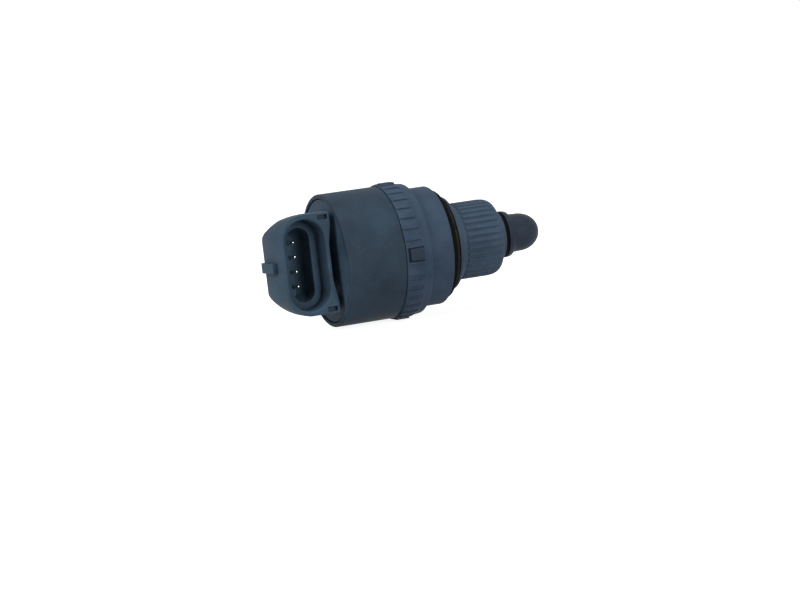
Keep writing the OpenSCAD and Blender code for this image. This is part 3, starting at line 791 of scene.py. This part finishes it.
@dataclass
class Pintle(SubAssembly):
    """Pintle: the keyed stem, the collar and the blunt nose."""

    screw_r: float = 2.5
    stem_r: float = 4.95
    stem_x0: float = 5.4
    screw_x1: float = 15.4
    collar_x0: float = 27.8
    collar_r: float = 6.5
    nose_r: float = 5.3
    step_x: float = 31.6
    step_depth: float = 0.06
    bend_x: float = 32.4
    tip_x: float = 38.6
    bluntness: float = 2.1
    nose_steps: int = 24
    key_x0: float = 5.9
    key_len: float = 6.0
    key_w: float = 1.6
    key_h: float = 0.9
    key_sink: float = 0.5
    key_round: float = 0.12

    def build(self) -> None:
        """Builds the pintle with its two keys and dresses it."""
        rod = spun("rod", self.outline(), RING_STEPS, closed=False)
        keys = block("keys", (self.key_x0, -self.stem_r - self.key_h, -self.key_w / 2),
                     (self.key_x0 + self.key_len, self.key_sink - self.stem_r, self.key_w / 2),
                     self.key_round)
        repeat_round(keys, 2)
        self.dress(joined([rod, keys]), "pintle_body", "pintle", "pintle_plastic", "pintle",
                   body=Body.PLUNGER)

    def outline(self) -> list[Point]:
        """Draws the stem and the collar with fillets, then the nose as a blunt oval.

        Returns:
            Points as (radius, station), in mm.
        """
        root = self.nose_r - self.step_depth
        head = rounded([
            (0.0, self.screw_x1), (self.screw_r, self.screw_x1), (self.screw_r, self.stem_x0),
            (self.stem_r, self.stem_x0, 0.2), (self.stem_r, self.collar_x0),
            (self.collar_r, self.collar_x0, 0.15), (self.collar_r - 0.12, self.collar_x0 + 1.0, 0.6),
            (self.collar_r - 0.3, self.collar_x0 + 1.55, 0.25),
            (self.nose_r + 0.1, self.collar_x0 + 2.0, 0.4), (self.nose_r, self.collar_x0 + 3.2, 0.8),
            (self.nose_r, self.step_x), (root, self.step_x + 0.05)], closed=False)
        nose = []
        length = self.tip_x - self.bend_x
        power = 2 / self.bluntness
        for k in range(self.nose_steps + 1):
            turn = math.pi / 2 * k / self.nose_steps
            out = root * math.cos(turn) ** power if k < self.nose_steps else 0.0
            nose.append((out, self.bend_x + length * math.sin(turn) ** power))
        return head + nose


@dataclass
class SocketCover(SubAssembly):
    """Rear cover in one with the side-facing socket: shroud, ledge, well, teeth, webs, bridge and latch."""

    x: float = -33.7
    half_w: float = 7.2
    height: float = 27.6
    rise: float = 0.4
    wall: float = 1.3
    draft: float = 0.4
    mouth_bevel: float = 0.25
    mouth_y: float = -11.0
    ledge_y: float = -4.5
    floor_y: float = 2.4
    back_y: float = 3.6
    inner_ledge: float = 2.7
    end_ledge: float = 2.3
    ridge_w: float = 1.8
    ridge_h: float = 0.8
    shroud_round: float = 0.35
    ridge_root: float = 1.5
    ridge_round: float = 0.75
    far_wall: float = 1.1
    corner_start: float = 0.6
    corner_foot: float = 3.0
    corner_reach: float = 0.6
    corner_depth: float = 5.5
    pocket_len: float = 2.9
    pocket_h: float = 1.3
    pocket_depth: float = 1.5
    pocket_wall: float = 0.6
    pin_pitch: float = 4.04
    pin_w: float = 0.8
    pin_tip_y: float = -1.4
    pin_row_y: float = 4.2
    pin_inner_x: float = -21.35
    tooth_w: float = 2.0
    tooth_h: float = 1.2
    tooth_rise: float = 0.8
    tooth_round: float = 0.2
    end_tooth_drop: float = 1.9
    end_tooth_w: float = 1.0
    disc_r: float = 16.9
    disc_x0: float = -24.3
    disc_x1: float = -22.1
    web_top: float = 13.1
    web_h: float = 2.8
    web_y: Point = (-5.7, 0.3)
    web_in: float = 2.0
    latch_out: float = 1.2
    latch_in: float = 0.4
    latch_y: Point = (-6.1, 2.9)
    latch_half: float = 1.4
    bridge_in: float = 2.5
    bridge_wall: float = 1.1
    bridge_roof: float = 1.2
    root: float = 0.5
    point_len: float = 0.5
    point_share: float = 0.45
    upper_fullness: float = 0.035
    edge_w: float = 0.14
    edge_angle: float = 42.0
    round_points: int = 70

    def build(self) -> None:
        """Builds the cover, then the four terminals."""
        piece = self.shroud()
        for addition in (self.corner(1), self.corner(-1), self.disc(), self.bridge(), self.web(1),
                         self.web(-1), self.latch()):
            combine(piece, addition, Way.ADD)
        for tool, way in ((self.mouth, Way.CUT), (self.flare, Way.CUT), (self.ridge, Way.ADD),
                          (self.well, Way.CUT)):
            combine(piece, tool(), way)
        for side in (1, -1):
            combine(piece, self.pocket(side), Way.CUT)
        soften(piece, self.edge_w, self.edge_angle)
        self.dress(piece, "socket_cover_shell", "cover", "cover_plastic", "socket_cover")
        for row in range(4):
            self.terminal(row)

    def stadium(self, name: str, r: float, height: float, y0: float, y1: float) -> Object:
        """Makes a prism with round ends that runs along the socket.

        Args:
            name: The new object's name.
            r: Radius of its round ends, in mm.
            height: Its height, in mm.
            y0: Where it starts, in mm.
            y1: Where it ends, in mm.

        Returns:
            The prism.
        """
        deselect()
        bpy.ops.mesh.primitive_cylinder_add(vertices=self.round_points, radius=r * MM, depth=(y1 - y0) * MM,
                                            location=(self.x * MM, (y0 + y1) / 2 * MM, self.rise * MM),
                                            rotation=(math.pi / 2, 0.0, 0.0))
        obj = bpy.context.object
        obj.name = name
        bpy.ops.object.transform_apply()
        for side in (1, -1):
            open_points(obj, lambda point: side * (point.z - self.rise) > 0)
            shift(z=side * (height / 2 - r))
        set_mode("OBJECT")
        return obj

    def shroud(self) -> Object:
        """Makes the socket's body, narrowed to its mouth by the mould's draft, with no mouth cut yet."""
        obj = self.stadium("shroud", self.half_w, self.height, self.mouth_y, self.back_y)
        open_points(obj, lambda point: point.y < self.mouth_y + 0.1)
        bpy.ops.transform.resize(value=((self.half_w - self.draft) / self.half_w, 1.0, 1.0),
                                 center_override=(self.x * MM, 0.0, 0.0))
        set_mode("OBJECT")
        combine(obj, self.side_outline(0.0), Way.KEEP)
        soften(obj, self.shroud_round, SMOOTH_ANGLE, 3)
        return obj

    def corner(self, side: int) -> Object:
        """Makes the squared corner between a round end of the socket and the cover.

        Args:
            side: 1 for the upper end, -1 for the lower one.

        Returns:
            The corner, which thins out along the socket's wall.
        """
        top = self.height / 2
        edge = self.x + self.half_w + self.corner_reach
        start = self.x + self.corner_start
        outline = rounded([
            (start, top), (edge, top, 0.3), (edge, top - 3.6, 2.5),
            (self.x + self.half_w - 0.7, self.corner_foot), (start, self.corner_foot)])
        obj = drawn("corner", [(u, self.mouth_y, self.rise + side * v) for u, v in outline], True)
        bpy.ops.mesh.edge_face_add()
        push(y=self.corner_depth)
        close(obj)
        soften(obj, 0.2, SMOOTH_ANGLE)
        return obj

    def pocket(self, side: int) -> Object:
        """Makes the cutter of the key pocket in a squared corner."""
        mid = self.rise + side * (self.height / 2 - self.pocket_wall - self.pocket_h / 2)
        x1 = self.x + self.half_w + self.corner_reach - self.pocket_wall
        return block("pocket", (x1 - self.pocket_len, self.mouth_y - OVER, mid - self.pocket_h / 2),
                     (x1, self.mouth_y + self.pocket_depth, mid + self.pocket_h / 2))

    def side_outline(self, inset: float) -> Object:
        """Makes the prism across the socket that cuts its far corners back, inset by a wall.

        Args:
            inset: The wall, in mm.

        Returns:
            The prism.
        """
        half = self.height / 2
        # a wall that leans is inset by less along each axis
        upper, lower = ([
            (self.mouth_y - OVER, half + OVER - inset),
            (self.mouth_y * 0.62 - inset * 0.2, half - inset, 3.0),
            (self.mouth_y * 0.24 - inset * 0.6, half * (0.88 + full) - inset * 0.8, 3.5),
            (self.back_y - 1 - inset, half * (0.64 + full) - inset * 0.4, 0.9),
            (self.back_y - inset, half * (0.56 + full) - inset * 0.4)] for full in (self.upper_fullness, 0.0))
        lower = [(u, -v, *fillet) for u, v, *fillet in reversed(lower)]
        x0 = self.x - self.half_w - OVER
        obj = drawn("side", [(x0, y, self.rise + z) for y, z in rounded(upper + lower)], True)
        bpy.ops.mesh.edge_face_add()
        push(x=2 * (self.half_w + OVER))
        return close(obj)

    def mouth(self) -> Object:
        """Makes the cutter of the mouth, down to the ledge."""
        cutter = self.stadium("mouth", self.half_w - self.wall, self.height - 2 * self.wall,
                              self.mouth_y - OVER, self.ledge_y)
        combine(cutter, self.side_outline(self.far_wall), Way.KEEP)
        return cutter

    def flare(self) -> Object:
        """Makes the cutter that bevels the mouth's inner edge, wider by as much as it reaches out."""
        r = self.half_w - self.wall
        half = self.height / 2 - self.wall
        spread = OVER + self.mouth_bevel
        cutter = self.stadium("flare", r, 2 * half, self.mouth_y - OVER, self.mouth_y + self.mouth_bevel)
        open_points(cutter, lambda point: point.y < self.mouth_y)
        bpy.ops.transform.resize(value=((r + spread) / r, 1.0, (half + spread) / half),
                                 center_override=(self.x * MM, 0.0, self.rise * MM))
        set_mode("OBJECT")
        return cutter

    def well_size(self) -> Point:
        """Gives the radius of the well's round ends and its height, in mm."""
        return (self.half_w - self.wall - self.inner_ledge, self.height - 2 * (self.wall + self.end_ledge))

    def ridge(self) -> Object:
        """Makes the rounded ridge that stands on the ledge around the well."""
        r, height = self.well_size()
        y0 = self.ledge_y - self.ridge_h
        slack = 0.02
        end = self.ledge_y + self.ridge_root
        ring = self.stadium("ridge", r + self.ridge_w, height + 2 * self.ridge_w, y0, end)
        combine(ring, self.stadium("hole", r + slack, height + 2 * slack, y0 - OVER, end + 0.5), Way.CUT)
        soften(ring, self.ridge_round, SMOOTH_ANGLE, 4)
        return ring

    def well(self) -> Object:
        """Makes the cutter of the well, with the comb of teeth left standing between the terminals."""
        r, height = self.well_size()
        cutter = self.stadium("well", r, height, self.ledge_y - self.ridge_h - OVER, self.floor_y)
        rows = [place * self.pin_pitch + self.tooth_rise + self.rise for place in (-2, -1, 0, 1)]
        for z, w in [(z, self.tooth_w) for z in rows] + [(rows[0] - self.end_tooth_drop, self.end_tooth_w)]:
            tooth = block("tooth", (self.x - r - OVER, self.ledge_y, z - w / 2),
                          (self.x - r + self.tooth_h, self.floor_y + OVER, z + w / 2), self.tooth_round)
            combine(cutter, tooth, Way.CUT)
        combine(cutter, self.side_outline(self.far_wall), Way.KEEP)
        return cutter

    def disc(self) -> Object:
        """Spins the cover's disc."""
        return spun("disc", rounded([
            (0.0, self.disc_x1), (self.disc_r, self.disc_x1), (self.disc_r, self.disc_x0, 0.2),
            (0.0, self.disc_x0)], closed=False), RING_STEPS, closed=False)

    def bridge(self) -> Object:
        """Makes the block that carries the terminals from the socket into the cover."""
        half = (3 * self.pin_pitch + self.pin_w) / 2 + self.bridge_wall
        return block("bridge", (self.x - self.bridge_in, self.floor_y, self.rise - half),
                     (self.disc_x0 + self.root, self.pin_row_y + self.bridge_roof, self.rise + half))

    def web(self, side: int) -> Object:
        """Makes the short web between the socket's shoulder and the cover, above or below."""
        mid = self.rise + side * (self.web_top - self.web_h / 2)
        return block("web", (self.x + self.half_w - self.web_in, self.web_y[0], mid - self.web_h / 2),
                     (self.disc_x0 + self.root, self.web_y[1], mid + self.web_h / 2))

    def latch(self) -> Object:
        """Makes the latch block on the socket's rear wall."""
        rear = self.x - self.half_w
        return block("latch", (rear - self.latch_out, self.latch_y[0], self.rise - self.latch_half),
                     (rear + self.latch_in, self.latch_y[1], self.rise + self.latch_half))

    def terminal(self, row: int) -> None:
        """Builds one bent terminal with a pointed tip and dresses it.

        Args:
            row: Its place, counted from the bottom.
        """
        half = self.pin_w / 2
        z = (row - 1.5) * self.pin_pitch + self.rise
        pin = block("pin", (self.x - half, self.pin_row_y - half, z - half),
                    (self.x + half, self.pin_row_y + half, z + half))
        open_faces(pin, lambda centre, normal: normal.y < -0.9)
        push(y=self.pin_tip_y + self.point_len - (self.pin_row_y - half))
        push(y=-self.point_len)
        bpy.ops.transform.resize(value=(self.point_share, 1.0, self.point_share))
        open_faces(pin, lambda centre, normal: normal.x > 0.9 and centre.y > self.pin_row_y - half)
        push(x=self.pin_inner_x - (self.x + half))
        set_mode("OBJECT")
        close(pin)
        soften(pin, 0.06, 30)
        self.dress(pin, f"terminal_blade_{row + 1}", "tin", "tinned_terminal", f"terminal_{row + 1}")


@dataclass
class Motor(SubAssembly):
    """The stepper motor, whose CAD solids have their true shape and only take a finish."""

    finishes: dict[str, tuple[str, ...]] = field(default_factory=lambda: {
        "zinc": ("can_rear", "can_front", "pole_plate_rear", "pole_plate_front"),
        "bobbin": ("bobbin_rear", "bobbin_front", "rotor_hub"),
        "copper": ("coil_rear", "coil_front", "lead_1", "lead_2", "lead_3", "lead_4"),
        "bronze": ("rear_bush",),
        "steel": ("wave_washer", "bearing_outer", "bearing_inner", "bearing_balls", "rotor_pin",
                  "bearing_clip", "lead_screw"),
        "ferrite": ("rotor_magnet",),
    })

    def build(self) -> None:
        """Gives every solid of the motor its finish."""
        for finish, nodes in self.finishes.items():
            for name in nodes:
                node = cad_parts[name]
                node.data.materials.clear()
                node.data.materials.append(self.palette[finish])
                log.info("node %s: %s finish", name, finish)


@dataclass(frozen=True)
class Lamp:
    """One square soft lamp: its name, its place and side in metres, and its power in watts."""

    name: str
    place: Place
    side: float
    power: float

    def hang(self) -> None:
        """Hangs the lamp so that it faces the valve."""
        light = bpy.data.lights.new(self.name, "AREA")
        light.size = self.side
        light.energy = self.power
        lamp = bpy.data.objects.new(self.name, light)
        bpy.context.scene.collection.objects.link(lamp)
        lamp.location = self.place
        lamp.rotation_euler = Vector(self.place).to_track_quat("Z", "Y").to_euler()


@dataclass
class Studio:
    """White sweep, soft lamps and the camera, set to the photograph's viewing angle."""

    azimuth: float = -20.58
    elevation: float = 5.41
    roll: float = -6.85
    distance_mm: float = 1100.0
    px_per_mm: float = 3.66
    image_w: float = 800.0
    image_h: float = 600.0
    rim_px: Point = (325.5, 261.1)
    rim_x: float = -24.6
    floor_z: float = -19.1
    sensor_mm: float = 36.0
    room_light: float = 0.12
    near_glow: float = 0.9
    shadow_reach: float = 0.2
    lamps: tuple[Lamp, ...] = (
        Lamp("left", (-0.75, -0.25, 0.45), 0.5, 5.0),
        Lamp("top", (0.1, -0.2, 0.8), 0.5, 3.4),
        Lamp("front", (0.2, -0.93, 0.2), 0.3, 4.0),
    )

    def build(self) -> None:
        """Sets up the world, the floor, the lamps and the camera."""
        self.world()
        self.floor()
        for lamp in self.lamps:
            lamp.hang()
        self.camera()
        bpy.context.scene.view_settings.view_transform = "Standard"

    def world(self) -> None:
        """Makes a room that looks white to the camera and lights the valve softly."""
        world = bpy.data.worlds.new("studio")
        bpy.context.scene.world = world
        world.use_nodes = True
        tree = world.node_tree
        tree.nodes.clear()
        level = add_node(tree, "MapRange", values={"To Min": self.room_light, "To Max": 1.0},
                         links={"Value": self.seen(tree)})
        glow = add_node(tree, "Background", values={"Color": (1, 1, 1, 1)},
                        links={"Strength": level.outputs["Result"]})
        add_node(tree, "OutputWorld", links={"Surface": glow.outputs["Background"]})

    def floor(self) -> None:
        """Lays a round floor that looks white to the camera, apart from a soft shadow near the valve."""
        deselect()
        bpy.ops.mesh.primitive_circle_add(vertices=96, radius=1.5, fill_type="NGON",
                                          location=(0, 0, self.floor_z * MM))
        disc = bpy.context.object
        disc.name = "floor"
        mat = bpy.data.materials.new("white_sweep")
        mat.use_nodes = True
        tree = mat.node_tree
        tree.nodes.clear()
        place = add_node(tree, "TexCoord").outputs["Object"]
        far = add_node(tree, "VectorMath", {"operation": "LENGTH"}, links={0: place})
        reach = add_node(tree, "MapRange", {"interpolation_type": "SMOOTHSTEP"}, {
            "From Min": 0.03, "From Max": self.shadow_reach, "To Min": self.near_glow, "To Max": 1.0},
            {"Value": far.outputs["Value"]})
        level = add_node(tree, "Math", {"operation": "MULTIPLY"},
                         links={0: reach.outputs["Result"], 1: self.seen(tree)})
        glow = add_node(tree, "Emission", values={"Color": (1, 1, 1, 1)},
                        links={"Strength": level.outputs["Value"]})
        matt = add_node(tree, "BsdfDiffuse", values={"Color": (0.6, 0.6, 0.6, 1)})
        both = add_node(tree, "AddShader", links={0: glow.outputs[0], 1: matt.outputs[0]})
        add_node(tree, "OutputMaterial", links={"Surface": both.outputs[0]})
        disc.data.materials.append(mat)

    def seen(self, tree: NodeTree) -> NodeSocket:
        """Adds nodes that give 1 to rays that see a surface, straight or in a reflection, and 0 to others."""
        rays = add_node(tree, "LightPath")
        mirrored = add_node(tree, "Math", {"operation": "ADD"}, links={
            0: rays.outputs["Is Glossy Ray"], 1: rays.outputs["Is Transmission Ray"]})
        return add_node(tree, "Math", {"operation": "ADD", "use_clamp": True}, links={
            0: rays.outputs["Is Camera Ray"], 1: mirrored.outputs["Value"]}).outputs["Value"]

    def camera(self) -> None:
        """Puts the camera where the rim's centre falls on its pixel and the valve has its scale."""
        a, e, r = (math.radians(v) for v in (self.azimuth, self.elevation, self.roll))
        back = Vector((math.sin(a) * math.cos(e), -math.cos(a) * math.cos(e), math.sin(e)))
        level = Vector((math.cos(a), math.sin(a), 0.0))
        upright = back.cross(level)
        right = level * math.cos(r) + upright * math.sin(r)
        up = upright * math.cos(r) - level * math.sin(r)
        across = (self.rim_px[0] - self.image_w / 2) / self.px_per_mm
        above = (self.image_h / 2 - self.rim_px[1]) / self.px_per_mm
        eye = Vector((self.rim_x, 0, 0)) + back * self.distance_mm - right * across - up * above
        lens = bpy.data.cameras.new("view")
        lens.sensor_width = self.sensor_mm
        lens.lens = self.px_per_mm * self.distance_mm / self.image_w * self.sensor_mm
        lens.clip_start = 0.01
        cam = bpy.data.objects.new("camera", lens)
        bpy.context.scene.collection.objects.link(cam)
        cam.matrix_world = Matrix.Translation(eye * MM) @ Matrix((right, up, back)).transposed().to_4x4()
        bpy.context.scene.camera = cam


def main() -> None:
    """Builds the studio and the valve."""
    logging.basicConfig(level=logging.INFO, format="%(name)s: %(message)s")
    Studio().build()
    palette = {name: finish.material() for name, finish in FINISHES.items()}
    for part in (Casing, FrontBody, GuideSleeve, Seals, Pintle, SocketCover, Motor):
        part(palette).build()


if __name__ == "__main__":
    main()
